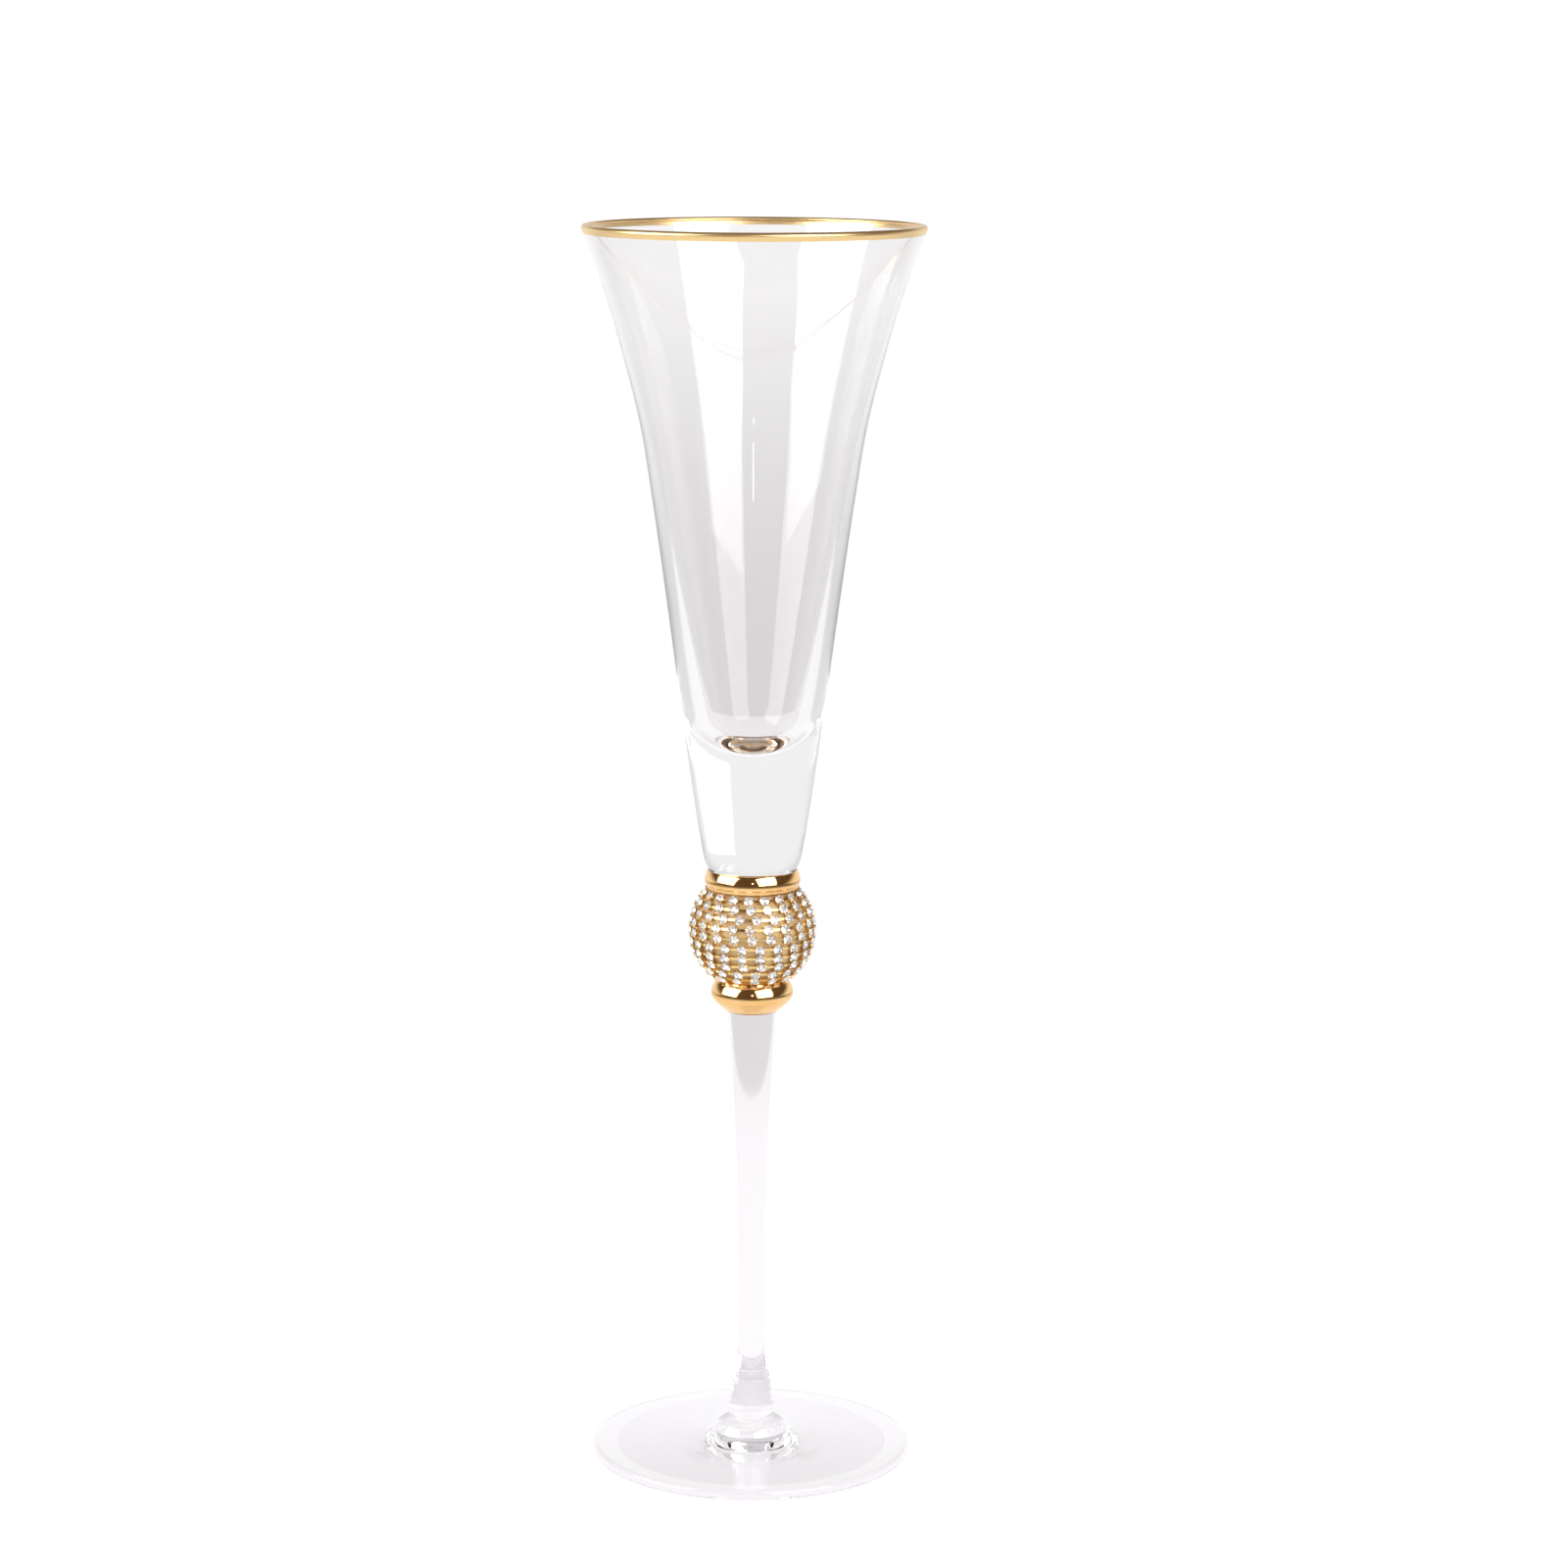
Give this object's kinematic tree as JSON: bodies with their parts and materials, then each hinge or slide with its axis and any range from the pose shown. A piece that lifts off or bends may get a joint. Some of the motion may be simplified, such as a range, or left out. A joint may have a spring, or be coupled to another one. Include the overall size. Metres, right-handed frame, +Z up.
{
  "type": "champagne flute",
  "caption": "Tall champagne flute: a trumpet glass bowl with a gilded lip, a ball wrapped in crystal chain between two gilt collars, and a slim glass stem on a round glass foot.",
  "frame": {"origin": "centre of the foot, on the surface the flute stands on", "axes": "+Z up along the stem to the bowl's mouth; -Y faces the viewer"},
  "size_m": [0.076, 0.076, 0.28],
  "materials": {
    "clear_glass": "clear polished lead-free crystal glass",
    "rim_gold": "fired bright gold on the glass lip",
    "gold_plate": "polished gold plating on cast and pressed brass",
    "stone_chain": "gold-plated cup chain set with clear brilliant-cut glass stones",
    "adhesive": "clear cured glass adhesive",
    "steel": "plated steel"
  },
  "bodies": {
    "root": {"foot": "clear_glass", "foot_adhesive": "adhesive", "stem": "clear_glass", "stem_adhesive": "adhesive", "lower_collar": "gold_plate", "tie_nut": "steel", "tie_washer": "steel", "tie_screw": "steel", "lower_ball_shell": "gold_plate", "upper_ball_shell": "gold_plate", "chain_row_01": "stone_chain", "chain_row_02": "stone_chain", "chain_row_03": "stone_chain", "chain_row_04": "stone_chain", "chain_row_05": "stone_chain", "chain_row_06": "stone_chain", "chain_row_07": "stone_chain", "chain_row_08": "stone_chain", "chain_row_09": "stone_chain", "chain_row_10": "stone_chain", "upper_collar": "gold_plate", "bowl_adhesive": "adhesive", "bowl": "clear_glass", "rim_band": "rim_gold"}
  },
  "joints": []
}
